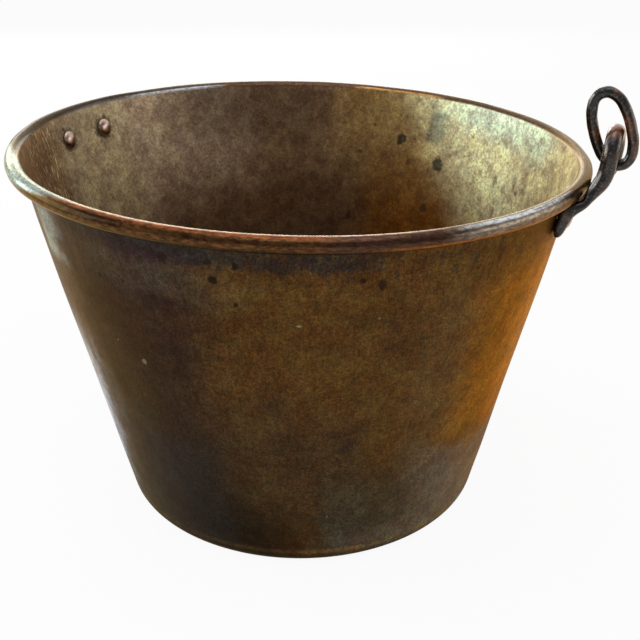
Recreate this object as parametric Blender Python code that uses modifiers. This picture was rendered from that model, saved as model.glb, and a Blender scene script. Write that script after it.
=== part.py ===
# Brass cauldron: a tapering pan of spun brass whose rim is rolled over an iron wire, two forged
# iron lugs riveted under the rim, and an iron link through the eye of each lug.
# Metres, +Z up. The origin is the middle of the underside and +X points at the upright lug.
import math

import bmesh
import bpy
from mathutils import Matrix, Vector

MM = 0.001

# Pan
RIM_RADIUS = 180 * MM           # over the rolled rim
HEIGHT = 240 * MM               # from the underside to the top of the rim
BASE_RADIUS = 124 * MM          # where the line of the wall meets the underside
CORNER_RADIUS = 9 * MM          # outside, between the base and the wall
SHEET = 1.4 * MM                # brass sheet
BEAD_RADIUS = 4.7 * MM          # rolled rim, over the sheet
CURL_SLIT = 0.7 * MM            # left between the sheet's edge and the wall
SEAT_GAP = 0.3 * MM             # between pieces that touch
WIRE_RADIUS = BEAD_RADIUS - SHEET - SEAT_GAP

# Lugs, with heights measured down from the middle of the rolled rim
ROD_RADIUS = 4.8 * MM           # round bar of the eye
EYE_SPAN = 23 * MM              # between the middles of the two legs
CROWN_RISE = 32 * MM            # middle of the crown above the middle of the rim
CROWN_STAND = 10.9 * MM         # middle of the crown outside the rim
RIVET_SPACING = 39.5 * MM
RIVET_DROP = 14 * MM
FOOT_WIDTH = 13.2 * MM
FOOT_THICKNESS = 7.2 * MM       # at the rivet
HEEL_THICKNESS = 9.2 * MM
TOE_THICKNESS = 4.6 * MM
TOE_DROP = 24.6 * MM
HEEL_DROP = 8.5 * MM            # where the foot turns out from the wall
NECK_THICKNESS = 5.6 * MM       # where the leg passes the rolled rim
NECK_WIDTH = 10.4 * MM
FOOT_SINK = 0.6 * MM            # forged this much too deep, then cut to the wall
BENT_REACH = 24 * MM            # the bent eye's middle outside the rim
BENT_DROP = 23.5 * MM           # and below the middle of the rim
BENT_ANGLE = math.radians(-55)  # the bent eye points this far below level

# Rivets
SHANK_RADIUS = 3.2 * MM
HEAD_RADIUS = 6.2 * MM
HEAD_HEIGHT = 3.4 * MM
TAIL_RADIUS = 4.8 * MM
TAIL_HEIGHT = 1.5 * MM
TAIL_SEAT = 1.4 * MM            # depth of the sinking that the tail is peened into

# Links
LINK_ROD_RADIUS = 3.4 * MM
LINK_HALF_WIDTH = 10.2 * MM     # to the middle of the rod
LINK_HALF_LENGTH = 20.8 * MM
LINK_ROUNDNESS = 2.3            # exponent of the ring's outline: 2 is an ellipse
LINK_LEAN = math.radians(-22)   # the upright link leans in over the pan
LINK_RIDE = 2.4 * MM            # the crown sits this far below the middle of the upright link

# Facets
TURN_STEPS = 90
LUG_SIDES = 12
LINK_STEPS = 34
RIVET_STEPS = 16

beadRadiusLine = RIM_RADIUS - BEAD_RADIUS
beadHeight = HEIGHT - BEAD_RADIUS
curlRadius = BEAD_RADIUS - SHEET


def wall_slope():
    """Angle from upright of a wall that starts at the base and is tangent to the rim wire's curl."""
    run = beadRadiusLine - BASE_RADIUS
    return math.atan2(run, beadHeight) - math.asin(curlRadius / math.hypot(run, beadHeight))


slope = wall_slope()


def wall_radius(height):
    """Radius of the wall's outer face at a height above the underside."""
    return BASE_RADIUS + height * math.tan(slope)


def clear_scene():
    for thing in list(bpy.data.objects):
        bpy.data.objects.remove(thing, do_unlink=True)


def new_collection(name):
    group = bpy.data.collections.new(name)
    bpy.context.scene.collection.children.link(group)
    return group


def new_material(name, colour, roughness):
    material = bpy.data.materials.new(name)
    material.use_nodes = True
    shader = material.node_tree.nodes["Principled BSDF"]
    shader.inputs["Base Color"].default_value = (*colour, 1)
    shader.inputs["Metallic"].default_value = 1
    shader.inputs["Roughness"].default_value = roughness
    material.diffuse_color = (*colour, 1)
    return material


def add_object(name, data, group, material=None):
    thing = bpy.data.objects.new(name, data)
    group.objects.link(thing)
    if material:
        data.materials.append(material)
    return thing


def arc(centre, radius, start, end, steps):
    """Points of an arc in the plane of the profile, from start to end in degrees."""
    angles = [math.radians(start + (end - start) * i / steps) for i in range(steps + 1)]
    return [(centre[0] + radius * math.cos(a), centre[1] + radius * math.sin(a)) for a in angles]


def turned(name, profile, group, steps, material=None):
    """A profile of (radius, height) points turned about Z with a Screw modifier."""
    mesh = bpy.data.meshes.new(name)
    points = [(radius, 0, height) for radius, height in profile]
    mesh.from_pydata(points, [(i, i + 1) for i in range(len(points) - 1)], [])
    thing = add_object(name, mesh, group, material)
    screw = thing.modifiers.new("Turn", "SCREW")
    screw.axis = "Z"
    screw.steps = steps
    screw.render_steps = steps
    screw.use_merge_vertices = True
    screw.merge_threshold = 0.01 * MM
    screw.use_smooth_shade = True
    return thing


def cut(thing, cutter):
    cutter.hide_render = True
    cutter.display_type = "WIRE"
    boolean = thing.modifiers.new("Cut " + cutter.name, "BOOLEAN")
    boolean.operation = "DIFFERENCE"
    boolean.solver = "EXACT"
    boolean.object = cutter


def even_normals(thing):
    """Large faces set the shading, so that cut holes don't streak the wall."""
    weighted = thing.modifiers.new("Even normals", "WEIGHTED_NORMAL")
    weighted.keep_sharp = True


def shade_smooth(mesh, sharp_degrees=40):
    mesh.shade_smooth()
    mesh.set_sharp_from_angle(angle=math.radians(sharp_degrees))


def make_pan(group, material):
    """Sheet profile: up the inside, round the wire, back under the curl and down the outside."""
    centre = (beadRadiusLine, beadHeight)
    toWall = 180 - math.degrees(slope)
    swing = math.degrees(math.acos((curlRadius - CURL_SLIT) / BEAD_RADIUS))
    curlEnd = toWall + swing - 360
    cornerMiddle = BASE_RADIUS - CORNER_RADIUS * (1 - math.sin(slope)) / math.cos(slope)
    corner = (cornerMiddle, CORNER_RADIUS)
    lean = math.degrees(slope)
    profile = [(0, SHEET)]
    profile += arc(corner, CORNER_RADIUS - SHEET, -90, -lean, 5)
    profile += arc(centre, BEAD_RADIUS, toWall, curlEnd, 13)
    profile += arc(centre, curlRadius, curlEnd, toWall, 9)
    profile += arc(corner, CORNER_RADIUS, -lean, -90, 5)
    profile += [(0, 0)]
    return turned("pan", profile, group, TURN_STEPS, material)


def make_rim_wire(group, material):
    bpy.ops.mesh.primitive_torus_add(
        major_radius=beadRadiusLine, minor_radius=WIRE_RADIUS, major_segments=TURN_STEPS,
        minor_segments=8, location=(0, 0, beadHeight))
    wire = bpy.context.object
    wire.name = "rim_wire"
    for owner in list(wire.users_collection):
        owner.objects.unlink(wire)
    group.objects.link(wire)
    wire.data.materials.append(material)
    shade_smooth(wire.data)
    return wire


def make_seat_cutter(group):
    """The pan's outside, grown by the seat gap: it cuts the backs of the lugs to fit."""
    centre = (beadRadiusLine, beadHeight)
    grown = BEAD_RADIUS + SEAT_GAP
    swing = math.degrees(math.acos((curlRadius - SEAT_GAP) / grown))
    wallMeet = 180 - math.degrees(slope) + swing - 360
    low = beadHeight - 2 * TOE_DROP
    profile = [(0, beadHeight + grown)]
    profile += arc(centre, grown, 90, wallMeet, 14)
    profile += [(wall_radius(low) + SEAT_GAP / math.cos(slope), low), (0, low)]
    return turned("cut_lug_seat", profile, group, TURN_STEPS)


def rivet_azimuth():
    """Half the angle between a lug's two rivets, seen from above."""
    return math.asin(RIVET_SPACING / 2 / wall_radius(beadHeight - RIVET_DROP))


def rivet_frame(azimuth):
    """Origin on the wall's outer face at a rivet, with local Z along the rivet, outwards."""
    height = beadHeight - RIVET_DROP
    spin = Matrix.Rotation(azimuth, 4, "Z")
    place = Matrix.Translation((wall_radius(height), 0, height))
    tilt = Matrix.Rotation(math.pi / 2 + slope, 4, "Y")
    return spin @ place @ tilt


def make_rivet(name, azimuth, group, material):
    """Domed head inside the pan, shank through wall and foot, tail peened on the foot."""
    sag = HEAD_RADIUS ** 2 / (2 * wall_radius(beadHeight - RIVET_DROP))
    head = -SHEET - SEAT_GAP - sag
    tail = SEAT_GAP + FOOT_THICKNESS - TAIL_SEAT + SEAT_GAP
    profile = [(0, tail + TAIL_HEIGHT)]
    profile += [(TAIL_RADIUS * math.sin(math.radians(a)), tail + TAIL_HEIGHT * math.cos(math.radians(a)))
                for a in (30, 60, 90)]
    profile += [(SHANK_RADIUS, tail), (SHANK_RADIUS, head)]
    profile += [(HEAD_RADIUS * math.cos(math.radians(a)), head - HEAD_HEIGHT * math.sin(math.radians(a)))
                for a in (0, 20, 40, 60, 75)]
    profile += [(0, head - HEAD_HEIGHT)]
    rivet = turned(name, profile, group, RIVET_STEPS, material)
    rivet.matrix_world = rivet_frame(azimuth)
    return rivet


def make_rivet_cutter(name, azimuth, group):
    """Hole through wall and foot, opening into the flat under the rivet's tail."""
    hole = SHANK_RADIUS + SEAT_GAP
    seat = SEAT_GAP + FOOT_THICKNESS - TAIL_SEAT
    flat = TAIL_RADIUS + SEAT_GAP
    profile = [(0, 2 * seat), (flat, 2 * seat), (flat, seat), (hole, seat), (hole, -seat), (0, -seat)]
    cutter = turned(name, profile, group, RIVET_STEPS)
    cutter.matrix_world = rivet_frame(azimuth)
    return cutter


def smooth_path(stations, steps):
    """Catmull-Rom curve through stations, each a list of numbers."""
    path = []
    for i in range(len(stations) - 1):
        before = stations[max(i - 1, 0)]
        start, end = stations[i], stations[i + 1]
        after = stations[min(i + 2, len(stations) - 1)]
        for k in range(steps):
            t = k / steps
            path.append([
                0.5 * (2 * b + (c - a) * t + (2 * a - 5 * b + 4 * c - d) * t * t
                       + (3 * b - a - 3 * c + d) * t ** 3)
                for a, b, c, d in zip(before, start, end, after)])
    path.append(list(stations[-1]))
    return path


def foot_station(drop, thickness, width):
    """A station of the foot: x and z in the lug's plane, y, thickness, width, squareness."""
    height = beadHeight - drop
    half = RIVET_SPACING / 2
    middle = SEAT_GAP - FOOT_SINK + (thickness + FOOT_SINK) / 2
    radius = wall_radius(height) + middle * math.cos(slope)
    return [math.sqrt(radius ** 2 - half ** 2), height - middle * math.sin(slope), half,
            thickness + FOOT_SINK, width, 4.0]


def foot_stations():
    """From the rounded toe up to the heel under the rolled rim."""
    round_off = FOOT_WIDTH / 2
    return [
        foot_station(TOE_DROP, TOE_THICKNESS * 0.45, FOOT_WIDTH * 0.35),
        foot_station(TOE_DROP - round_off * 0.15, TOE_THICKNESS, FOOT_WIDTH * 0.62),
        foot_station(TOE_DROP - round_off * 0.6, (TOE_THICKNESS + FOOT_THICKNESS) / 2, FOOT_WIDTH * 0.93),
        foot_station(RIVET_DROP, FOOT_THICKNESS, FOOT_WIDTH),
    ]


def leg_station(angle, thickness, width, side, squareness):
    """A station beside the rolled rim, at an angle round it, with y given by side."""
    reach = BEAD_RADIUS + SEAT_GAP + thickness / 2
    turn = math.radians(angle)
    return [beadRadiusLine + reach * math.cos(turn), beadHeight + reach * math.sin(turn), side,
            thickness, width, squareness]


def upright_legs():
    """Stations from the heel round the rolled rim and up to the eye, then the eye's middle."""
    half = EYE_SPAN / 2
    flare = RIVET_SPACING / 2 - half
    rod = 2 * ROD_RADIUS
    crown = RIM_RADIUS + CROWN_STAND
    eye = (crown - 0.4 * MM, beadHeight + CROWN_RISE - half)
    stations = [
        [*foot_station(HEEL_DROP, HEEL_THICKNESS, FOOT_WIDTH)[:2], half + 0.93 * flare,
         HEEL_THICKNESS, FOOT_WIDTH, 3.2],
        leg_station(-48, NECK_THICKNESS, NECK_WIDTH, half + 0.7 * flare, 2.8),
        leg_station(-8, (NECK_THICKNESS + rod) / 2 - 0.6 * MM, NECK_WIDTH * 0.94, half + 0.36 * flare, 2.3),
        [crown - 2.6 * MM, beadHeight + 7 * MM, half + 0.13 * flare, rod * 0.96, rod, 2.0],
        [crown - 1.1 * MM, beadHeight + 13.5 * MM, half, rod, rod, 2.0],
    ]
    return stations, eye, math.pi / 2


def bent_legs():
    """The same legs hammered outwards and down, clear of the rolled rim."""
    half = EYE_SPAN / 2
    flare = RIVET_SPACING / 2 - half
    rod = 2 * ROD_RADIUS
    eye = (RIM_RADIUS + BENT_REACH, beadHeight - BENT_DROP)
    stations = [
        [*foot_station(HEEL_DROP, HEEL_THICKNESS, FOOT_WIDTH)[:2], half + 0.93 * flare,
         HEEL_THICKNESS, FOOT_WIDTH, 3.2],
        leg_station(-62, NECK_THICKNESS, NECK_WIDTH, half + 0.7 * flare, 2.8),
        [RIM_RADIUS + 6.6 * MM, beadHeight - 8.2 * MM, half + 0.36 * flare,
         (NECK_THICKNESS + rod) / 2, (NECK_WIDTH + rod) / 2, 2.3],
        [RIM_RADIUS + 14.5 * MM, beadHeight - 11.3 * MM, half + 0.13 * flare, rod, rod, 2.0],
        [RIM_RADIUS + 20 * MM, beadHeight - 17.2 * MM, half, rod, rod, 2.0],
    ]
    return stations, eye, BENT_ANGLE


def superellipse(angle, half_a, half_b, power):
    c, s = math.cos(angle), math.sin(angle)
    return (half_a * math.copysign(abs(c) ** (2 / power), c),
            half_b * math.copysign(abs(s) ** (2 / power), s))


def make_lug(name, legs, turn, group, material, cutters):
    """Bar lofted from a flat rivet foot, past the rim, over the round crown and down again."""
    stations, eye, aim = legs
    half = EYE_SPAN / 2
    rod = 2 * ROD_RADIUS
    ahead = (math.cos(aim), math.sin(aim))
    bend = []
    for degrees in range(0, 91, 15):
        a = math.radians(degrees)
        bend.append([eye[0] + ahead[0] * half * math.sin(a), eye[1] + ahead[1] * half * math.sin(a),
                     half * math.cos(a), rod, rod, 2.0])
    leg = smooth_path(foot_stations() + stations + bend[:1], 3)[:-1]
    rows = [(row, 0) for row in leg] + [(row, 1) for row in bend]
    rows += [([x, z, -y, t, w, q], bent) for (x, z, y, t, w, q), bent in reversed(rows[:-1])]

    mesh = bmesh.new()
    rings = []
    for i, (row, bent) in enumerate(rows):
        x, z, y, thickness, width, power = row
        middle = Vector((x, y, z))
        previous = rows[max(i - 1, 0)][0]
        following = rows[min(i + 1, len(rows) - 1)][0]
        along = Vector((following[0] - previous[0], following[2] - previous[2],
                        following[1] - previous[1])).normalized()
        climb = Vector((along.x, 0, along.z)) * (1 if i <= len(rows) // 2 else -1)
        if bent or climb.length < 0.05:
            climb = Vector((ahead[0], 0, ahead[1]))
        climb.normalize()
        out = Vector((climb.z, 0, -climb.x))
        across = along.cross(out)
        ring = []
        for k in range(LUG_SIDES):
            a, b = superellipse(2 * math.pi * (k + 0.5) / LUG_SIDES, thickness / 2, width / 2, power)
            ring.append(mesh.verts.new(middle + out * a + across * b))
        rings.append(ring)
    for first, second in zip(rings, rings[1:]):
        for k in range(LUG_SIDES):
            n = (k + 1) % LUG_SIDES
            mesh.faces.new((first[k], first[n], second[n], second[k]))
    mesh.faces.new(reversed(rings[0]))
    mesh.faces.new(rings[-1])
    bmesh.ops.recalc_face_normals(mesh, faces=mesh.faces)
    bmesh.ops.rotate(mesh, verts=mesh.verts, cent=(0, 0, 0), matrix=Matrix.Rotation(turn, 3, "Z"))
    data = bpy.data.meshes.new(name)
    mesh.to_mesh(data)
    mesh.free()
    lug = add_object(name, data, group, material)
    for cutter in cutters:
        cut(lug, cutter)
    even_normals(lug)
    shade_smooth(data)
    crown = Vector((eye[0] + ahead[0] * half, 0, eye[1] + ahead[1] * half))
    return lug, Matrix.Rotation(turn, 3, "Z") @ crown


def ring_outline():
    """Points along the middle of the link's rod, about the link's own middle."""
    return [Vector(superellipse(2 * math.pi * i / LINK_STEPS, LINK_HALF_WIDTH, LINK_HALF_LENGTH, LINK_ROUNDNESS))
            for i in range(LINK_STEPS)]


def seated_middle(start, pull):
    """Where the link's middle lies, from the crown, once it is pulled until its rod meets the crown."""
    outline = ring_outline()
    near, far = 0, LINK_HALF_LENGTH
    for _ in range(40):
        step = (near + far) / 2
        middle = Vector(start) + Vector(pull) * step
        ring = [middle + point for point in outline]
        gap = min(closest_on_edge(ring[i - 1], ring[i]).length for i in range(len(ring)))
        if gap > ROD_RADIUS + LINK_ROD_RADIUS + SEAT_GAP:
            near = step
        else:
            far = step
    return middle


def closest_on_edge(first, second):
    """The point nearest the crown, which is the origin, on one edge of the link's outline."""
    edge = second - first
    return first + edge * min(max(-first.dot(edge) / edge.length_squared, 0), 1)


def make_link(name, crown, middle, lean, group, material):
    """Ring of round rod; its origin is the crown that it turns on, its own middle is offset."""
    curve = bpy.data.curves.new(name, "CURVE")
    curve.dimensions = "3D"
    curve.bevel_depth = LINK_ROD_RADIUS
    curve.bevel_resolution = 3
    spline = curve.splines.new("POLY")
    spline.points.add(LINK_STEPS - 1)
    spline.use_cyclic_u = True
    for point, (x, z) in zip(spline.points, ring_outline()):
        point.co = (middle[0] + x, 0, middle[1] + z, 1)
    link = add_object(name, curve, group, material)
    link.matrix_world = Matrix.Translation(crown) @ Matrix.Rotation(lean, 4, "Y")
    return link


def add_axis(name, place, group):
    empty = add_object(name, None, group)
    empty.empty_display_type = "SINGLE_ARROW"
    empty.empty_display_size = 20 * MM
    empty.matrix_world = Matrix.Translation(place) @ Matrix.Rotation(-math.pi / 2, 4, "X")
    return empty


def main():
    clear_scene()
    parts = new_collection("brass_cauldron")
    cutters = new_collection("cutters")
    brass = new_material("aged brass", (0.42, 0.27, 0.09), 0.42)
    iron = new_material("forged iron", (0.10, 0.085, 0.075), 0.5)
    copper = new_material("copper rivet", (0.45, 0.25, 0.16), 0.35)
    wire = new_material("rim wire", (0.16, 0.13, 0.11), 0.6)

    pan = make_pan(parts, brass)
    make_rim_wire(parts, wire)
    seat = make_seat_cutter(cutters)
    spread = rivet_azimuth()
    lugs = (("right", 0, upright_legs()), ("left", math.pi, bent_legs()))
    for side, turn, legs in lugs:
        holes = []
        for place, azimuth in (("front", turn - spread), ("back", turn + spread)):
            if side == "left":
                azimuth = 2 * turn - azimuth
            make_rivet("rivet_" + side + "_" + place, azimuth, parts, copper)
            hole = make_rivet_cutter("cut_" + side + "_" + place, azimuth, cutters)
            cut(pan, hole)
            holes.append(hole)
        crown = make_lug("lug_" + side, legs, turn, parts, iron, [seat, *holes])[1]
        if side == "right":
            middle, lean = seated_middle((0, LINK_RIDE), (-1, 0)), LINK_LEAN
        else:
            middle, lean = seated_middle((0, 0), (0, -1)), 0
        link = make_link("link_" + side, crown, middle, lean, parts, iron)
        axis = add_axis("axis_link_" + side, crown, parts)
        link.parent = axis
        link.matrix_parent_inverse = axis.matrix_world.inverted()
        print(link.name, "turns on", [round(v / MM, 2) for v in crown], "mm")
    even_normals(pan)


main()
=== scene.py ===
# Looks of the brass cauldron: an aged brass pan with a rolled rim, two forged iron lugs held by
# copper rivets, and an iron link in the eye of each lug. Metres, +Z up, +X at the upright lug.
import math

import bmesh
import bpy
from mathutils import Matrix, Vector, noise


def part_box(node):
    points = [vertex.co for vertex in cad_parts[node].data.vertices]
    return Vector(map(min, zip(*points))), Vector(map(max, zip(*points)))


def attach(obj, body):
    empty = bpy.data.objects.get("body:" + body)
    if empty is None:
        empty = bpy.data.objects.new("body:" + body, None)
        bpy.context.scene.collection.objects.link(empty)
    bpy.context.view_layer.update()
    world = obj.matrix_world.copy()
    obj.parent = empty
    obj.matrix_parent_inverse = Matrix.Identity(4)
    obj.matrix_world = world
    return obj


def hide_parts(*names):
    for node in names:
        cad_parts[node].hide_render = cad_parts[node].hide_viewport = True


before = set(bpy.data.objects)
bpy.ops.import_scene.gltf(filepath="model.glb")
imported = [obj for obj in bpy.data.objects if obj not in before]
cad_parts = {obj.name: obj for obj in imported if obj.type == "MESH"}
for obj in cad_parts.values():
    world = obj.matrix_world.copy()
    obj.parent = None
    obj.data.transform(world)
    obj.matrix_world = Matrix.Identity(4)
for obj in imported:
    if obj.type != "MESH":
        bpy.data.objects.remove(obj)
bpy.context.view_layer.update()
print("cauldron: frame loaded")

mm = 0.001
bpy.context.scene.view_settings.view_transform = "Standard"


# Shader expressions

class Wire:  # a socket in a material's tree, with arithmetic on it
    def __init__(self, tree, socket=None):
        self.tree = tree
        self.socket = socket

    def node(self, kind, settings=None, sockets=None, out=0):
        made = self.tree.nodes.new(kind)
        for name, value in (settings or {}).items():
            setattr(made, name, value)
        for name, value in (sockets or {}).items():
            if isinstance(value, Wire):
                self.tree.links.new(value.socket, made.inputs[name])
            else:
                made.inputs[name].default_value = value
        return Wire(self.tree, made.outputs[out]) if made.outputs else None

    def math(self, operation, *values):
        return self.node("ShaderNodeMath", {"operation": operation}, dict(enumerate(values)))

    def __add__(self, other):
        return self.math("ADD", self, other)

    def __radd__(self, other):
        return self.math("ADD", other, self)

    def __sub__(self, other):
        return self.math("SUBTRACT", self, other)

    def __rsub__(self, other):
        return self.math("SUBTRACT", other, self)

    def __mul__(self, other):
        return self.math("MULTIPLY", self, other)

    def __rmul__(self, other):
        return self.math("MULTIPLY", other, self)

    def step(self, low, high):  # 0 at low, 1 at high, smooth between; low may be the larger
        return self.node("ShaderNodeMapRange", {"interpolation_type": "SMOOTHSTEP"},
                         {"Value": self, "From Min": low, "From Max": high})

    def window(self, low, high, soft):  # 1 between low and high
        return self.step(low - soft, low + soft) * self.step(high + soft, high - soft)

    def vector(self, operation, second=(0, 0, 0), out=0, scale=1.0):
        sockets = {0: self, 1: second, 3: scale}
        return self.node("ShaderNodeVectorMath", {"operation": operation}, sockets, out)

    def near(self, place, core, edge):  # 1 within core of a place, 0 past edge
        return self.vector("DISTANCE", place, "Value").step(edge, core)

    def placed(self, seed, stretch):
        return self.node("ShaderNodeMapping", None, {
            "Vector": self, "Location": (seed * 0.37, seed * 0.61, seed * 0.83), "Scale": stretch})

    def mottle(self, size, seed=0, detail=3, rough=0.55, stretch=(1, 1, 1)):  # noise about 0.5
        return self.node("ShaderNodeTexNoise", None, {
            "Vector": self.placed(seed, stretch), "Scale": 1 / size, "Detail": detail,
            "Roughness": rough})

    def cells(self, size, seed=0):  # distance from the middle of a cell, in cells
        return self.node("ShaderNodeTexVoronoi", None, {
            "Vector": self.placed(seed, (1, 1, 1)), "Scale": 1 / size}, "Distance")


def mix(factor, first, second):
    return factor.node("ShaderNodeMix", {"data_type": "RGBA"}, {0: factor, 6: first, 7: second}, 2)


def tone(red, green, blue):  # a colour as a screen shows it, made linear
    return (*[((c / 255 + 0.055) / 1.055) ** 2.4 for c in (red, green, blue)], 1)


def newMaterial(name):
    material = bpy.data.materials.new(name)
    material.use_nodes = True
    material.node_tree.nodes.clear()
    return material, Wire(material.node_tree)


def finishMetal(start, colour, roughness, height, bump, metallic, coat, glaze):
    normal = start.node("ShaderNodeBump", None, {
        "Height": height, "Distance": bump, "Strength": 1.0}, "Normal")
    shader = start.node("ShaderNodeBsdfPrincipled", None, {
        "Base Color": colour, "Roughness": roughness, "Metallic": metallic, "Normal": normal,
        "Coat Weight": coat, "Coat Roughness": glaze["coatRoughness"],
        "Specular IOR Level": glaze["specular"], "Specular Tint": glaze["edge"]})
    start.node("ShaderNodeOutputMaterial", None, {"Surface": shader})


# What several pieces share

def addPiece(name, mesh, material, body, replaced, sharp=40):
    data = bpy.data.meshes.new(name)
    mesh.to_mesh(data)
    mesh.free()
    data.materials.append(material)
    data.shade_smooth()
    data.set_sharp_from_angle(angle=math.radians(sharp))
    piece = bpy.data.objects.new(name, data)
    bpy.context.scene.collection.objects.link(piece)
    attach(piece, body)
    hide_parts(replaced)
    print("cauldron:", name, sum(len(face.vertices) - 2 for face in data.polygons), "triangles")
    return piece


def arc(middle, radius, start, end, steps):
    angles = [math.radians(start + (end - start) * i / steps) for i in range(steps + 1)]
    return [(middle[0] + radius * math.cos(a), middle[1] + radius * math.sin(a)) for a in angles]


def between(start, end, steps):  # the points between two ends, without them
    return [(start[0] + (end[0] - start[0]) * i / steps, start[1] + (end[1] - start[1]) * i / steps)
            for i in range(1, steps)]


def smooth(value, low, high):
    t = min(max((value - low) / (high - low), 0), 1)
    return t * t * (3 - 2 * t)


def turn(mesh, profile, steps, marks=(), sectors=4):  # a sector is spun, and copied round
    verts = [mesh.verts.new((point[0], 0, point[1])) for point in profile]
    for layer, values in marks:
        for vert, value in zip(verts, values):
            vert[layer] = value
    edges = [mesh.edges.new(pair) for pair in zip(verts, verts[1:])]
    bmesh.ops.spin(mesh, geom=verts + edges, cent=(0, 0, 0), axis=(0, 0, 1), dvec=(0, 0, 0),
                   angle=2 * math.pi / sectors, steps=steps // sectors,
                   use_merge=False, use_duplicate=False)
    sector = mesh.verts[:] + mesh.edges[:] + mesh.faces[:]
    for i in range(1, sectors):
        copied = bmesh.ops.duplicate(mesh, geom=sector)["geom"]
        bmesh.ops.rotate(mesh, verts=[part for part in copied if isinstance(part, bmesh.types.BMVert)],
                         cent=(0, 0, 0), matrix=Matrix.Rotation(2 * math.pi * i / sectors, 3, "Z"))
    bmesh.ops.remove_doubles(mesh, verts=mesh.verts, dist=0.001 * mm)
    bmesh.ops.recalc_face_normals(mesh, faces=mesh.faces)


# The pan's shape

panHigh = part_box("pan")[1]
wireLow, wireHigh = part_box("rim_wire")
wireRadius = (wireHigh.z - wireLow.z) / 2
pan = {
    "beadLine": wireHigh.x - wireRadius,       # radius of the middle of the rolled rim
    "beadHeight": (wireHigh.z + wireLow.z) / 2,
    "bead": panHigh.y - wireHigh.x + wireRadius,
    "base": 124 * mm,                          # where the wall's line meets the underside
    "corner": 9 * mm,
    "sheet": 1.4 * mm,
    "slit": 0.7 * mm,
    "turnSteps": 420,
    "sectors": 12,
    "wallSteps": 56,
    "floorSteps": 14,
    "cornerSteps": 8,
    "beadSteps": 34,
    "curlSteps": 18,
    "innerFade": (5, 9),                       # steps over the bead where the inside's look ends
    "rimFade": (0, 3),                         # and where the rim's look starts
    "wave": 0.5 * mm,                          # the beaten wall's unevenness
    "waveSize": 64 * mm,
    "rimWave": 0.25 * mm,
    "rimWaveSize": 38 * mm,
    "rimZone": (35 * mm, 5 * mm),              # below the bead's middle: where the rim's waves start
    "calmHeights": (195 * mm, 212 * mm),       # the sheet stays true at the feet of the lugs
    "calmAngles": (22, 12),
    "calmFoot": 40 * mm,
    "floorRise": 0.8 * mm,
    "floorEdge": (22 * mm, 60 * mm),           # in from the base: where the rise starts and is full
}
pan["curl"] = pan["bead"] - pan["sheet"]
seatGap = 0.3 * mm  # between the sheet and what is riveted to it


def wallSlope():
    run = pan["beadLine"] - pan["base"]
    return (math.atan2(run, pan["beadHeight"])
            - math.asin(pan["curl"] / math.hypot(run, pan["beadHeight"])))


slope = wallSlope()


def wallRadius(height):
    return pan["base"] + height * math.tan(slope)


def wallPoint(azimuth, height, inner=False):
    radius = wallRadius(height) - (pan["sheet"] / math.cos(slope) if inner else 0)
    angle = math.radians(azimuth)
    return Vector((radius * math.cos(angle), radius * math.sin(angle), height))


def panProfile():  # inside from the middle, over the bead and back under it, outside to the middle
    middle = (pan["beadLine"], pan["beadHeight"])
    lean = math.degrees(slope)
    curlEnd = 180 - lean + math.degrees(math.acos((pan["curl"] - pan["slit"]) / pan["bead"])) - 360
    corner = (pan["base"] - pan["corner"] * (1 - math.sin(slope)) / math.cos(slope), pan["corner"])
    inCorner = arc(corner, pan["corner"] - pan["sheet"], -90, -lean, pan["cornerSteps"])
    overBead = arc(middle, pan["bead"], 180 - lean, curlEnd, pan["beadSteps"])
    underBead = arc(middle, pan["curl"], curlEnd, 180 - lean, pan["curlSteps"])
    outCorner = arc(corner, pan["corner"], -lean, -90, pan["cornerSteps"])
    floor = (0, pan["sheet"])
    inside = [floor] + between(floor, inCorner[0], pan["floorSteps"]) + inCorner
    inside += between(inCorner[-1], overBead[0], pan["wallSteps"])
    outside = between(underBead[-1], outCorner[0], pan["wallSteps"]) + outCorner
    outside += between(outCorner[-1], (0, 0), pan["floorSteps"]) + [(0, 0)]
    return inside, overBead, underBead, outside


def beaten(place):  # how far hand work moved a spot of the sheet, the same for both of its faces
    flat = Vector((place.x, place.y, 0))
    starts, full = pan["floorEdge"]
    if place.z < 4 * mm and flat.length < pan["base"] - starts:
        fade = smooth(flat.length, pan["base"] - starts, pan["base"] - full)
        return Vector((0, 0, pan["floorRise"] * fade * (0.5 + 0.5 * noise.noise(flat / pan["waveSize"]))))
    if place.z < pan["corner"]:
        return Vector()
    out = flat.normalized()
    spot = out * wallRadius(place.z) + Vector((0, 0, place.z))
    toLug = math.degrees(math.acos(min(abs(out.x), 1)))
    free = 1 - smooth(place.z, *pan["calmHeights"]) * smooth(toLug, *pan["calmAngles"])
    high = smooth(place.z, *[pan["beadHeight"] - drop for drop in pan["rimZone"]])
    push = pan["wave"] * (noise.noise(spot / pan["waveSize"]) - 0.9 * high)
    push += pan["rimWave"] * high * (noise.noise(spot / pan["rimWaveSize"]) - 1)
    lift = pan["rimWave"] * high * (noise.noise(spot / pan["rimWaveSize"] + Vector((7, 3, 5))) - 1)
    low = smooth(place.z, pan["corner"], pan["calmFoot"])
    return (out * push * low + Vector((0, 0, lift))) * free


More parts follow.
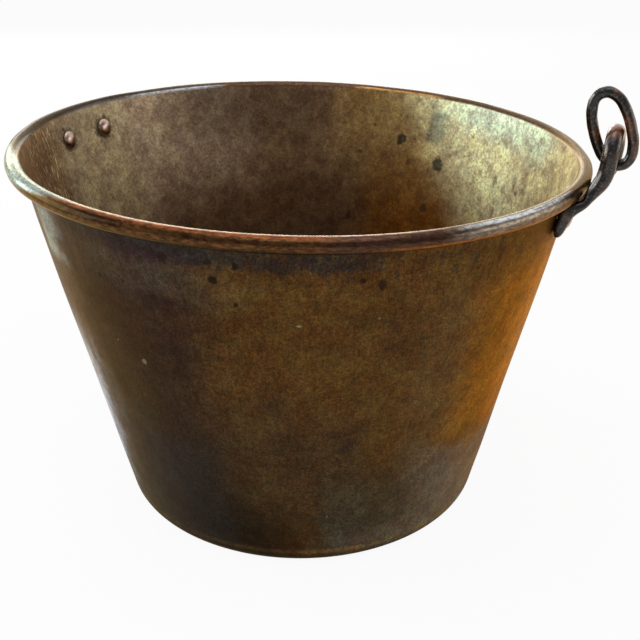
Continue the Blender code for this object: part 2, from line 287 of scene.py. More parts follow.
def makePan(material):
    inside, overBead, underBead, outside = panProfile()
    mesh = bmesh.new()
    inner = mesh.verts.layers.float.new("inner")
    rim = mesh.verts.layers.float.new("rim")
    tilt = mesh.verts.layers.float.new("tilt")  # degrees round the bead from its top, outwards
    profile = inside + overBead + underBead + outside
    isInner = [1] * len(inside) + [1 - smooth(i, *pan["innerFade"]) for i in range(len(overBead))]
    isInner += [0] * len(underBead + outside)
    isRim = [0] * len(inside) + [smooth(i, *pan["rimFade"]) for i in range(len(overBead))]
    isRim += [1] * len(underBead) + [0] * len(outside)
    middle = Vector((pan["beadLine"], pan["beadHeight"]))
    tilts = [math.degrees(Vector((0, 1)).angle_signed(Vector(spot) - middle)) for spot in overBead]
    tilts = [-90] * len(inside) + [value + (360 if value < -90 else 0) for value in tilts]
    tilts += [225] * len(underBead + outside)
    marks = ((inner, isInner), (rim, isRim), (tilt, tilts))
    turn(mesh, profile, pan["turnSteps"], marks, pan["sectors"])
    for vert in mesh.verts:
        vert.co += beaten(vert.co)
    return addPiece("brass_pan", mesh, material, "cauldron", "pan")


# The forged lugs

lug = {
    "rod": 4.8 * mm,            # half the thickness of the eye's round bar
    "eyeSpan": 23 * mm,         # between the middles of the legs
    "crownRise": 32 * mm,
    "crownStand": 10.9 * mm,
    "rivetSpacing": 39.5 * mm,
    "rivetDrop": 14 * mm,
    "footWidth": 13.2 * mm,
    "footThickness": 7.2 * mm,
    "heelThickness": 9.2 * mm,
    "toeThickness": 4.6 * mm,
    "toeDrop": 24.6 * mm,
    "heelDrop": 8.5 * mm,
    "neckThickness": 5.6 * mm,
    "neckWidth": 10.4 * mm,
    "footSink": 0.6 * mm,
    "bentReach": 24 * mm,
    "bentDrop": 23.5 * mm,
    "bentAngle": math.radians(-55),
    "sides": 28,
    "steps": 9,                 # rings between two stations
    "bendSteps": 18,            # and round half of the eye
    "forging": 0.16 * mm,       # unevenness left by the hammer
    "forgingSize": 6 * mm,
}


def footStation(drop, thickness, width, squareness=4.0):
    height = pan["beadHeight"] - drop
    half = lug["rivetSpacing"] / 2
    middle = seatGap - lug["footSink"] + (thickness + lug["footSink"]) / 2
    radius = wallRadius(height) + middle * math.cos(slope)
    return [math.sqrt(radius ** 2 - half ** 2), height - middle * math.sin(slope), half,
            thickness + lug["footSink"], width, squareness]


def neckStation(angle, thickness, width, side, squareness):
    reach = pan["bead"] + seatGap + thickness / 2
    turned = math.radians(angle)
    return [pan["beadLine"] + reach * math.cos(turned), pan["beadHeight"] + reach * math.sin(turned), side,
            thickness, width, squareness]


def footStations():
    roundOff = lug["footWidth"] / 2
    toe = lug["toeThickness"]
    foot = lug["footThickness"]
    return [
        footStation(lug["toeDrop"], toe * 0.45, lug["footWidth"] * 0.35),
        footStation(lug["toeDrop"] - roundOff * 0.15, toe, lug["footWidth"] * 0.62),
        footStation(lug["toeDrop"] - roundOff * 0.6, (toe + foot) / 2, lug["footWidth"] * 0.93),
        footStation(lug["rivetDrop"], foot, lug["footWidth"]),
    ]


def uprightLegs():  # stations of a leg, the middle of the eye's bend and the way it points
    half = lug["eyeSpan"] / 2
    flare = lug["rivetSpacing"] / 2 - half
    rod = 2 * lug["rod"]
    neck = lug["neckThickness"]
    crown = panHigh.x + lug["crownStand"]
    heel = footStation(lug["heelDrop"], lug["heelThickness"], lug["footWidth"])
    eye = (crown - 0.4 * mm, pan["beadHeight"] + lug["crownRise"] - half)
    stations = [
        [heel[0], heel[1], half + 0.93 * flare, lug["heelThickness"], lug["footWidth"], 3.2],
        neckStation(-48, neck, lug["neckWidth"], half + 0.7 * flare, 2.8),
        neckStation(-8, (neck + rod) / 2 - 0.6 * mm, lug["neckWidth"] * 0.94, half + 0.36 * flare, 2.3),
        [crown - 2.6 * mm, pan["beadHeight"] + 7 * mm, half + 0.13 * flare, rod * 0.96, rod, 2.0],
        [crown - 1.1 * mm, pan["beadHeight"] + 13.5 * mm, half, rod, rod, 2.0],
    ]
    return stations, eye, math.pi / 2


def bentLegs():  # the same legs hammered outwards and down, clear of the rolled rim
    half = lug["eyeSpan"] / 2
    flare = lug["rivetSpacing"] / 2 - half
    rod = 2 * lug["rod"]
    neck = lug["neckThickness"]
    rim = panHigh.x
    heel = footStation(lug["heelDrop"], lug["heelThickness"], lug["footWidth"])
    eye = (rim + lug["bentReach"], pan["beadHeight"] - lug["bentDrop"])
    stations = [
        [heel[0], heel[1], half + 0.93 * flare, lug["heelThickness"], lug["footWidth"], 3.2],
        neckStation(-62, neck, lug["neckWidth"], half + 0.7 * flare, 2.8),
        [rim + 6.6 * mm, pan["beadHeight"] - 8.2 * mm, half + 0.36 * flare,
         (neck + rod) / 2, (lug["neckWidth"] + rod) / 2, 2.3],
        [rim + 14.5 * mm, pan["beadHeight"] - 11.3 * mm, half + 0.13 * flare, rod, rod, 2.0],
        [rim + 20 * mm, pan["beadHeight"] - 17.2 * mm, half, rod, rod, 2.0],
    ]
    return stations, eye, lug["bentAngle"]


def smoothPath(stations, steps):  # Catmull-Rom curve through lists of numbers
    path = []
    for i in range(len(stations) - 1):
        before = stations[max(i - 1, 0)]
        after = stations[min(i + 2, len(stations) - 1)]
        for k in range(steps):
            t = k / steps
            path.append([
                0.5 * (2 * b + (c - a) * t + (2 * a - 5 * b + 4 * c - d) * t * t
                       + (3 * b - a - 3 * c + d) * t ** 3)
                for a, b, c, d in zip(before, stations[i], stations[i + 1], after)])
    return path + [list(stations[-1])]


def superellipse(angle, halfA, halfB, power):
    c, s = math.cos(angle), math.sin(angle)
    return halfA * math.copysign(abs(c) ** (2 / power), c), halfB * math.copysign(abs(s) ** (2 / power), s)


def addRing(mesh, middle, out, across, halfThick, halfWide, power, sides, capped=False):
    made = bmesh.ops.create_circle(mesh, cap_ends=capped, segments=sides, radius=1)["verts"]
    for vert in made:
        a, b = superellipse(math.atan2(vert.co.y, vert.co.x), halfThick, halfWide, power)
        vert.co = middle + out * a + across * b
    return list({edge for vert in made for edge in vert.link_edges})


def keepOff(place):  # moves a point out of the pan's wall and rolled rim, to the seat gap
    radius = math.hypot(place.x, place.y)
    grown = pan["bead"] + seatGap
    r, z = radius, place.z
    for _ in range(3):
        gap = Vector((r - pan["beadLine"], z - pan["beadHeight"]))
        if gap.length < grown:
            r, z = Vector((pan["beadLine"], pan["beadHeight"])) + gap.normalized() * grown
        depth = seatGap - (r - wallRadius(z)) * math.cos(slope)
        if depth > 0 and z < pan["beadHeight"]:
            r += depth * math.cos(slope)
            z -= depth * math.sin(slope)
    return Vector((place.x * r / radius, place.y * r / radius, z))


def makeLug(name, legs, turned, material, replaced, seed):
    stations, eye, aim = legs
    half = lug["eyeSpan"] / 2
    rod = 2 * lug["rod"]
    ahead = Vector((math.cos(aim), 0, math.sin(aim)))
    bend = []
    for i in range(lug["bendSteps"] + 1):
        a = math.pi / 2 * i / lug["bendSteps"]
        bend.append([eye[0] + ahead.x * half * math.sin(a), eye[1] + ahead.z * half * math.sin(a),
                     half * math.cos(a), rod, rod, 2.0])
    leg = smoothPath(footStations() + stations + bend[:1], lug["steps"])[:-1]
    rows = [(row, False) for row in leg] + [(row, True) for row in bend]
    rows += [([x, z, -y, t, w, q], bent) for (x, z, y, t, w, q), bent in reversed(rows[:-1])]

    mesh = bmesh.new()
    previous = None
    for i, ((x, z, y, thick, wide, power), bent) in enumerate(rows):
        back = rows[max(i - 1, 0)][0]
        on = rows[min(i + 1, len(rows) - 1)][0]
        along = Vector((on[0] - back[0], on[2] - back[2], on[1] - back[1])).normalized()
        climb = Vector((along.x, 0, along.z)) * (1 if i <= len(rows) // 2 else -1)
        if bent or climb.length < 0.05:
            climb = ahead.copy()
        climb.normalize()
        out = Vector((climb.z, 0, -climb.x))
        ends = i in (0, len(rows) - 1)
        ring = addRing(mesh, Vector((x, y, z)), out, along.cross(out), thick / 2, wide / 2, power,
                       lug["sides"], ends)
        if previous:
            bmesh.ops.bridge_loops(mesh, edges=previous + ring)
        previous = ring
    bmesh.ops.recalc_face_normals(mesh, faces=mesh.faces)
    mesh.normal_update()
    for vert in mesh.verts:
        shift = noise.noise(vert.co / lug["forgingSize"] + Vector((seed, seed, seed)))
        vert.co = keepOff(vert.co + vert.normal * lug["forging"] * (shift - 0.5))
    bmesh.ops.rotate(mesh, verts=mesh.verts, cent=(0, 0, 0), matrix=Matrix.Rotation(turned, 3, "Z"))
    return addPiece(name, mesh, material, "cauldron", replaced, 60)


# The rivets

rivet = {
    "shank": 3.2 * mm,
    "head": 6.2 * mm,
    "headHeight": 3.4 * mm,
    "tail": 4.8 * mm,
    "tailHeight": 1.5 * mm,
    "tailSeat": 1.4 * mm,
    "steps": 40,
    "hammered": 0.06 * mm,
    "hammeredSize": 4 * mm,
    "edge": 0.2 * mm,           # stays true at the seat
}


def rivetPlace(azimuth):  # local Z points out through the wall
    height = pan["beadHeight"] - lug["rivetDrop"]
    spin = Matrix.Rotation(azimuth, 4, "Z")
    return (spin @ Matrix.Translation((wallRadius(height), 0, height))
            @ Matrix.Rotation(math.pi / 2 + slope, 4, "Y"))


def makeRivet(name, azimuth, material, replaced, seed):
    sag = rivet["head"] ** 2 / (2 * wallRadius(pan["beadHeight"] - lug["rivetDrop"]))
    head = -pan["sheet"] - seatGap - sag
    tail = 2 * seatGap + lug["footThickness"] - rivet["tailSeat"]
    dome = rivet["headHeight"]
    profile = [(0, head - dome)]
    profile += [(rivet["head"] * math.cos(math.radians(a)) ** 0.9, head - dome * math.sin(math.radians(a)))
                for a in range(84, -1, -7)]
    profile += [(rivet["shank"], head), (rivet["shank"], tail)]
    profile += [(rivet["tail"] * math.cos(math.radians(a)),
                 tail + rivet["tailHeight"] * math.sin(math.radians(a))) for a in range(0, 85, 12)]
    profile += [(0, tail + rivet["tailHeight"])]
    mesh = bmesh.new()
    turn(mesh, profile, rivet["steps"])
    for vert in mesh.verts:
        inside = math.hypot(vert.co.x, vert.co.y) < rivet["head"] - rivet["edge"]
        if inside and abs(vert.co.z - head) > rivet["edge"]:
            shift = noise.noise(vert.co / rivet["hammeredSize"] + Vector((seed, 0, seed)))
            vert.co.z += rivet["hammered"] * shift
    bmesh.ops.transform(mesh, matrix=rivetPlace(azimuth), verts=mesh.verts)
    return addPiece(name, mesh, material, "cauldron", replaced)


# The links

link = {
    "rod": 3.25 * mm,
    "halfWidth": 10.2 * mm,
    "halfLength": 20.8 * mm,
    "roundness": 2.3,
    "lean": math.radians(-22),
    "steps": 110,
    "sides": 24,
    "forging": 0.18 * mm,
    "forgingSize": 5 * mm,
}


def makeLink(name, middle, lean, material, body, replaced, seed):
    path = [Vector((*superellipse(2 * math.pi * i / link["steps"], link["halfWidth"], link["halfLength"],
                                  link["roundness"]), 0)).xzy for i in range(link["steps"])]
    side = Vector((0, 1, 0))
    mesh = bmesh.new()
    rings = []
    for i, point in enumerate(path):
        along = (path[(i + 1) % len(path)] - path[i - 1]).normalized()
        out = along.cross(side)
        rings.append(addRing(mesh, point, out, side, link["rod"], link["rod"], 2, link["sides"]))
    for first, second in zip(rings, rings[1:] + rings[:1]):
        bmesh.ops.bridge_loops(mesh, edges=first + second)
    bmesh.ops.recalc_face_normals(mesh, faces=mesh.faces)
    mesh.normal_update()
    for vert in mesh.verts:
        shift = noise.noise(vert.co / link["forgingSize"] + Vector((seed, seed, seed)))
        vert.co += vert.normal * link["forging"] * (shift - 0.6)
    place = Matrix.Translation(middle) @ Matrix.Rotation(lean, 4, "Y")
    bmesh.ops.transform(mesh, matrix=place, verts=mesh.verts)
    return addPiece(name, mesh, material, body, replaced, 60)


def nodeMiddle(name):
    low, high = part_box(name)
    return (low + high) / 2


# Materials

def towards(azimuth):
    angle = math.radians(azimuth)
    return (math.cos(angle), math.sin(angle), 0)


def zone(away, azimuth, core, edge, drift=0):  # 1 within core degrees of an azimuth, 0 past edge
    facing = away.vector("DOT_PRODUCT", towards(azimuth), "Value") + drift
    return facing.step(math.cos(math.radians(edge)), math.cos(math.radians(core)))


def spots(point, wobble, places, inner):  # stains given as azimuth, height, radius, tallness, strength
    mask = None
    for azimuth, height, radius, tall, strength in places:
        place = tuple(wallPoint(azimuth, height * mm, inner))
        apart = point.vector("SUBTRACT", place).vector("MULTIPLY", (1, 1, 1 / tall))
        apart = apart.vector("LENGTH", out="Value") + wobble * (radius * mm)
        spot = apart.step(radius * 1.35 * mm, radius * 0.75 * mm) * strength
        mask = mask.math("MAXIMUM", mask, spot) if mask else spot
    return mask


def mottled(point, colour, dark, light, size, seed, low=0.36, high=0.64, stretch=(1, 1, 1)):
    share = point.mottle(size, seed, 4, 0.6, stretch).step(low, high)
    return colour.vector("MULTIPLY", mix(share, (*dark, 1), (*light, 1)))


def plain(start, colour):
    made = start.node("ShaderNodeRGB")
    made.socket.default_value = colour
    return made


# The brass

patina = {
    # outside
    "brown": tone(92, 66, 34),
    "hidden": tone(134, 92, 30),
    # shade and lowShade: painted shade on the left and low on the front
    "shade": tone(52, 36, 32),
    "lowShade": tone(50, 42, 37),
    # leftWarm, leftGrey and leftEdge: a painted reflection down the left edge
    "leftWarm": tone(90, 67, 57),
    "leftGrey": tone(100, 95, 94),
    "leftEdge": tone(166, 172, 180),
    # sheen: a painted reflection of a window, high on the left
    "sheen": tone(152, 165, 164),
    # amber, amberEdge and amberLow: a painted reflection of warm light on the right side
    "amber": tone(150, 99, 20),
    "amberEdge": tone(186, 122, 14),
    "amberLow": tone(104, 79, 50),
    "lowGreen": tone(70, 65, 52),
    "lowRight": tone(118, 105, 94),
    # lowDark: painted shade low on the left and under the rim's left end
    "lowDark": tone(29, 24, 22),
    "lowGold": tone(64, 42, 22),
    "lowCool": (0.92, 1.02, 1.45, 1),     # these two multiply what is under them
    "highCool": (0.90, 1.02, 1.70, 1),
    # highSheen: a painted sheen, lighter grey-green high on the left
    "highSheen": tone(118, 108, 74),
    "bandStain": tone(46, 44, 44),
    "foot": tone(144, 116, 70),
    # inside
    "inBrown": tone(142, 114, 84),
    "inLow": tone(98, 73, 54),
    "inEmber": tone(128, 80, 24),
    # inPale, inWarm and inCool: a painted reflection of light on the inner right wall
    "inPale": tone(230, 230, 182),
    "inWarm": tone(214, 204, 158),
    "inCool": tone(210, 228, 200),
    "inGold": tone(166, 138, 88),
    "inBeige": tone(174, 153, 130),
    "inOlive": tone(184, 168, 134),
    "inLeft": tone(138, 108, 78),
    "inTop": tone(92, 76, 62),
    "inSpeck": tone(112, 82, 48),
    "inBlush": tone(124, 92, 62),
    "inVeil": tone(92, 100, 98),
    "bottom": tone(110, 84, 54),
    "scratch": tone(216, 204, 170),
    # rolled rim
    "rimOlive": tone(98, 67, 41),
    "rimOrange": tone(148, 76, 36),
    "rimMauve": tone(82, 57, 45),
    "rimBeige": tone(130, 118, 105),
    # rimStreak to rimCyan: painted highlights and reflections on the bead; rimGold is a painted reflection
    # along its lower edge
    "rimStreak": tone(208, 216, 226),
    "rimGold": tone(156, 90, 26),
    "rimLine": tone(206, 184, 172),
    "rimCyan": tone(134, 162, 166),
    "rimBack": tone(88, 70, 60),
    # rimBackGold: a painted highlight on the far bead
    "rimBackGold": tone(206, 152, 88),
    # rimDark: real dark patches, and painted shade under the bead and at its far left end
    "rimDark": tone(44, 31, 23),
    # rimShade: painted shade
    "rimShade": tone(24, 18, 15),
    # marks
    "pit": tone(30, 24, 22),
    "dot": (0.36, 0.33, 0.34, 1),         # multiplies too
    # smudge tone: real smudges, and painted shade low on the left
    "smudgeAndShade": tone(34, 35, 42),
    "mark": tone(150, 144, 124),
}
patinaGlaze = {"coatRoughness": 0.12, "specular": 0.25, "edge": (0.92, 0.76, 0.52, 1)}
white = (1, 1, 1, 1)
drifts = {                   # how far broad noise moves the borders of the layers
    "azimuth": 0.08,
    "outside": 30 * mm,
    "inside": 36 * mm,
    "film": 36 * mm,
    "rim": 14,
}

# Layers, from the lowest to the top one: the tone, its share, the azimuth of its middle, the degrees round
# that with all of it and with any of it, and the heights in mm where it begins and where it is full
# shade and lowShade here are painted shade
leftToFront = [
    ("shade", 1, -105, 5, 29, None, None),
    ("lowShade", 0.5, -84, 22, 40, 152, 96),
    ("lowGreen", 0.85, -42, 15, 21, 100, 44),
    ("lowGold", 0.8, -72, 5, 10, 56, 20),
]
# painted shade, darker low on the left
lowLeftShade = [
    ("lowDark", 0.85, -108, 24, 44, 84, 28),
    ("smudgeAndShade", 0.65, -101, 7, 19, 116, 72),
]
insideSides = [
    ("inBeige", 1, 157, 16, 34, None, None),
    ("inOlive", 1, 183, 10, 22, None, None),
    ("inLeft", 1, 214, 16, 28, None, None),
    ("inGold", 1, 88, 10, 22, None, None),
]
insideBack = [
    ("inEmber", 0.45, 76, 14, 28, 198, 172),
    ("inTop", 0.6, 131, 13, 28, 168, 214),
]
coolTints = [("lowCool", -120, 12, 32, 118, 74), ("highCool", -107, 12, 26, 180, 208)]
# the layers of the painted warm reflection on the right side
ambers = [("amberLow", 24, 46, 78, 0), ("amber", 20, 32, 56, 0), ("amberEdge", 20, 24, 36, 4)]

# Layers of the rim: the tone, its share, the azimuth, the degrees with all and with any of it, and the band
# of tilt round the bead with the softness of its borders
rimSides = [
    ("rimOrange", 0.8, -90, 26, 42, (-4, 34, 14)),
    ("rimMauve", 1, -50, 8, 18, None),
    ("rimBeige", 1, -20, 14, 24, None),
    ("rimMauve", 0.8, -1, 7, 16, None),
]
# rimShade: painted shade on the bead's left front; rimGold: a painted reflection along the bead's lower
# edge
rimShadeAndReflection = [
    ("rimShade", 0.92, -115, 12, 25, (34, 84, 10)),
    ("rimGold", 0.75, -22, 22, 36, (110, 152, 7)),
]
# painted highlights along the bead (rimBackGold, rimStreak, rimLine) and painted shade at its far left end
# (rimDark)
rimHighlightsAndShade = [
    ("rimBackGold", 1, 88, 8, 17, (-66, -42, 5)),
    ("rimStreak", 0.9, -25, 9, 16, (8, 40, 7)),
    ("rimStreak", 0.9, 160, 16, 28, (-76, -44, 6)),
    ("rimLine", 0.8, -84, 34, 44, (-40, 10, 5)),
    ("rimDark", 0.85, -170, 22, 36, None),
]

outSpots = [
    (-81, 211, 2.4, 0.9, 1.0), (-77, 219, 1.4, 2.4, 0.9), (-77.4, 197.7, 1.2, 1, 0.9),
    (-81.6, 221, 1.8, 1, 0.8), (-52, 210, 2.2, 1.3, 0.8), (-55.6, 213, 1.6, 1, 0.8),
    (-90, 220, 2.6, 1.2, 0.7), (-106, 198, 1.6, 1.2, 0.7), (-100, 199.5, 1.3, 1, 0.8),
    (-93.6, 194, 1.8, 1.2, 0.6), (-79.6, 171, 1, 1, 0.7), (-46, 164, 1.1, 1, 0.6),
]
inSpots = [
    (74.6, 188.5, 4.5, 1.1, 0.95), (86.8, 202.7, 3.4, 1.3, 1.0), (84, 186, 2, 1.2, 0.5),
    (44, 188, 1.6, 1.2, 0.7), (98.6, 189.5, 1.5, 1, 0.7), (95, 211, 1.6, 1, 0.6),
    (101, 138, 1.6, 3, 0.6), (53.6, 190, 2, 2.2, 0.5), (41, 193, 3, 1.4, 0.4),
    (77, 153, 3, 1, 0.7), (46, 195, 2.2, 2.4, 0.4), (50, 186, 2.4, 1.6, 0.4),
]
outSmudges = [
    (-97, 46, 9, 3.2, 0.55), (-56, 106, 8, 1.5, 0.4), (-104, 70, 6, 2, 0.4), (-94, 196, 8, 1.2, 0.35),
    (-72, 128, 9, 2, 0.2), (-48, 176, 8, 1.6, 0.2),
]
outMarks = [
    (-66.4, 186.5, 1.5, 0.35, 0.8), (-100.4, 147, 1.3, 1.4, 0.45), (-51.8, 189.5, 0.6, 1, 0.5),
    (-107, 155.7, 0.6, 1, 0.5), (-59.6, 43, 0.5, 2.4, 0.4),
]
inMarks = [(74.2, 188.5, 1.8, 1.2, 0.7), (86.5, 202.7, 1.2, 1.3, 0.4)]  # pale middles of stains
for around in (0, 180):  # dark rings round the rivets and darker patches round the feet of the lugs
    for side in (-6.7, 6.7):
        inSpots.append((around + side, 221.3, 7.8, 1, 0.8))
        outSpots.append((around + side, 219, 9.5, 1.3, 0.45))

# Mottles: what they multiply by where they are darkest and lightest, size, seed, borders and stretch
outsideMottles = [
    ((0.90, 0.90, 0.92), (1.10, 1.10, 1.08), 1.8 * mm, 7, 0.36, 0.64, (1, 1, 0.12)),
    ((0.99, 0.89, 0.86), (1.01, 1.06, 1.02), 12 * mm, 3, 0.42, 0.58),
    ((0.90, 0.91, 1.02), (1.04, 1.03, 0.97), 5 * mm, 30, 0.38, 0.56),
]
insideMottles = [
    ((0.92, 0.89, 0.88), (1.15, 1.20, 1.18), 13 * mm, 3, 0.42, 0.58),
    ((0.93, 0.88, 0.86), (1.04, 1.03, 1.00), 6 * mm, 30, 0.42, 0.58),
]
sheetMottles = [
    ((0.92, 0.90, 0.92), (1.07, 1.08, 1.06), 34 * mm, 2, 0.4, 0.6),
    ((0.90, 0.89, 0.90), (1.06, 1.06, 1.03), 5 * mm, 4, 0.38, 0.56),
    ((0.84, 0.81, 0.82), (1.13, 1.14, 1.12), 2 * mm, 26, 0.4, 0.6),
    ((0.87, 0.85, 0.88), (1.04, 1.04, 1.03), 15 * mm, 27, 0.46, 0.52),
]
rimMottle = ((0.70, 0.68, 0.66), (1.30, 1.28, 1.24), 1.4 * mm, 17, 0.4, 0.6)


def layered(colour, away, fall, near, layers):
    for name, share, azimuth, core, edge, begins, full in layers:
        mask = zone(away, azimuth, core, edge, near)
        if begins:
            mask = mask * fall.step(begins * mm, full * mm)
        colour = mix(mask * share, colour, patina[name])
    return colour


def banded(colour, away, bend, near, layers):
    for name, share, azimuth, core, edge, band in layers:
        mask = zone(away, azimuth, core, edge, near)
        if band:
            mask = mask * bend.window(*band)
        colour = mix(mask * share, colour, patina[name])
    return colour


def amberReflection(colour, away, fall, near, torn):  # the warm right side over its grey foot; the warm tones are a painted reflection of warm light
    edge = fall + torn - (1 - zone(away, 30, 53, 80)) * (38 * mm)
    fade = zone(away, -10, 20, 78, near + torn * 14)  # towards the side that the photo hides
    grey = zone(away, 4, 14, 50, near) * edge.step(88 * mm, 68 * mm) * fade
    colour = mix(grey, colour, patina["lowRight"])
    above = edge.step(58 * mm, 96 * mm) * (0.15 + 0.85 * fall.step(216 * mm, 186 * mm)) * fade
    for name, azimuth, core, far, tearing in ambers:
        colour = mix(zone(away, azimuth, core, far, near + torn * tearing) * above, colour, patina[name])
    return colour


def leftReflection(colour, away, fall, near, torn):  # the pale left edge, a painted reflection
    leftTone = mix(fall.step(150 * mm, 116 * mm), patina["leftWarm"], patina["leftGrey"])
    colour = mix(zone(away, -140, 10, 27, near + torn * 4), colour, leftTone)
    edge = zone(away, -138, 5, 17, near + torn * 6) * fall.window(24 * mm, 140 * mm, 36 * mm)
    return mix(edge * 0.55, colour, patina["leftEdge"])


def underRim(colour, point, away, height, near):  # the stained band and its drips
    ragged = height + point.mottle(9 * mm, 5, 4, 0.6) * (14 * mm) - zone(away, -102, 7, 20) * (4 * mm)
    blotch = point.mottle(6 * mm, 24, 4, 0.65).step(0.36, 0.46)
    high = ragged.step(223 * mm, 227.5 * mm) * (0.5 + 0.5 * blotch)
    colour = mix(zone(away, -84, 24, 34, near) * high * 0.78, colour, patina["bandStain"])
    drips = point.mottle(4 * mm, 8, 2, 0.5, (1, 1, 0.25)).step(0.52, 0.62)
    low = ragged.step(214 * mm, 222 * mm)
    return mix(zone(away, -46, 20, 27, near) * low * drips * 0.42, colour, patina["bandStain"])


def outsideColour(point, away, height, drift):
    near = drift * drifts["azimuth"]
    fall = height + drift * drifts["outside"]
    torn = (point.mottle(16 * mm, 28, 4, 0.6) - 0.5) * (22 * mm)
    colour = plain(point, patina["brown"])
    colour = mix(zone(away, 72, 56, 84, near + torn * 10) * 0.8, colour, patina["hidden"])
    colour = layered(colour, away, fall, near, leftToFront)
    colour = amberReflection(colour, away, fall, near, torn)
    colour = leftReflection(colour, away, fall, near, torn)
    colour = layered(colour, away, fall, near, lowLeftShade)
    for name, azimuth, core, edge, begins, full in coolTints:
        cool = zone(away, azimuth, core, edge, near) * fall.step(begins * mm, full * mm)
        colour = colour.vector("MULTIPLY", mix(cool, white, patina[name]))
    # a painted sheen: lighter grey-green high on the left
    bright = zone(away, -94, 6, 24, near) * fall.window(198 * mm, 217 * mm, 8 * mm)
    colour = mix(bright * 0.2, colour, patina["highSheen"])
    # painted shade under the rolled rim at the left end
    corner = zone(away, -122, 20, 34) * height.step(224 * mm, 230 * mm)
    colour = mix(corner * 0.8, colour, patina["lowDark"])
    # a painted reflection of a window, high on the left
    sheen = zone(away, -129, 2, 15, near) * zone(away, -96, 30, 32.5, near * 0.4)
    sheen = sheen * (height + torn * 0.3).window(193 * mm, 223 * mm, 5 * mm)
    colour = mix(sheen * 0.85, colour, patina["sheen"])
    colour = underRim(colour, point, away, height, near)
    foot = zone(away, -40, 10, 22, near) * height.step(34 * mm, 14 * mm)
    colour = mix(foot * 0.4, colour, patina["lowRight"])
    worn = height.window(8.6 * mm, 12 * mm, 1.4 * mm) * point.mottle(14 * mm, 10).step(0.35, 0.6)
    colour = mix(worn * (0.15 + 0.65 * zone(away, -42, 12, 28)), colour, patina["foot"])
    return mix(height.step(8 * mm, 5 * mm) * 0.7, colour, patina["lowDark"])


def insideColour(point, away, height, drift):
    near = drift * drifts["azimuth"]
    fall = height + drift * drifts["inside"]
    colour = plain(point, patina["inBrown"])
    colour = layered(colour, away, fall, near, insideSides)
    low = mix(zone(away, 70, 12, 30, near), patina["inLow"], patina["inEmber"])
    deep = fall.step(198 * mm, 143 * mm) * (0.95 - 0.5 * zone(away, 182, 14, 26, near))
    colour = mix(deep, colour, low)
    colour = layered(colour, away, fall, near, insideBack)
    # a painted reflection of light on the inner right wall, cooler towards the top
    pale = mix(zone(away, 18, 10, 36, near), patina["inPale"], patina["inWarm"])
    cool = fall.step(206 * mm, 230 * mm) * zone(away, 54, 10, 30, near)
    pale = mix(cool, pale, patina["inCool"])
    reach = near + (height - 190 * mm) * 3  # the pale part widens upwards
    colour = mix(zone(away, 38, 17, 46, reach), colour, pale)
    speck = point.mottle(2.6 * mm, 19, 4, 0.7).step(0.54, 0.64)
    colour = mix(speck * 0.42, colour, patina["inSpeck"])
    lines = point.mottle(1.3 * mm, 18, 3, 0.6, (1, 1, 0.07)).step(0.57, 0.63)
    colour = mix(zone(away, 199, 5, 10, near) * lines * 0.75, colour, patina["scratch"])
    blush = point.mottle(8 * mm, 29, 4, 0.65).step(0.52, 0.64) * zone(away, 64, 34, 48, near)
    colour = mix(blush * 0.4, colour, patina["inBlush"])
    veil = zone(away, 76.6, 1.0, 3.4, drift * 0.004) * height.window(204 * mm, 228 * mm, 4 * mm)
    colour = mix(veil * 0.6, colour, patina["inVeil"])
    return mix(fall.step(60 * mm, 5 * mm), colour, patina["bottom"])


def rimColour(point, away, tilt, drift):
    near = drift * drifts["azimuth"]
    along = point.vector("SUBTRACT", away.vector("MULTIPLY", (0.6 * pan["beadLine"],) * 3))
    bend = tilt + drift * drifts["rim"]
    colour = plain(point, patina["rimOlive"])
    colour = banded(colour, away, bend, near, rimSides)
    patch = along.mottle(2.2 * mm, 21, 4, 0.7).step(0.48, 0.6) * (1 - 0.75 * zone(away, -30, 26, 42))
    colour = mix(patch * 0.65, colour, patina["rimDark"])
    colour = banded(colour, away, bend, near, rimShadeAndReflection)
    # painted shade on the underside of the bead
    under = zone(away, -95, 30, 44, near) * bend.step(104, 128)
    colour = mix(under * 0.75, colour, patina["rimDark"])
    colour = mix(zone(away, 102, 80, 96) * bend.step(-46, -34), colour, patina["rimBack"])
    colour = banded(colour, away, bend, near, rimHighlightsAndShade)
    across = away.vector("DOT_PRODUCT", towards(-35), "Value") + near * 0.3  # rises with azimuth near -125
    # a painted reflection, cyan-white over the bead's outer half at the left end
    light = (across + tilt * 0.0021).step(-0.36, -0.27) * (across + tilt * 0.0033).step(0.38, 0.18)
    colour = mix(light * zone(away, -125, 45, 60), colour, patina["rimCyan"])
    return mottled(along, colour, *rimMottle)


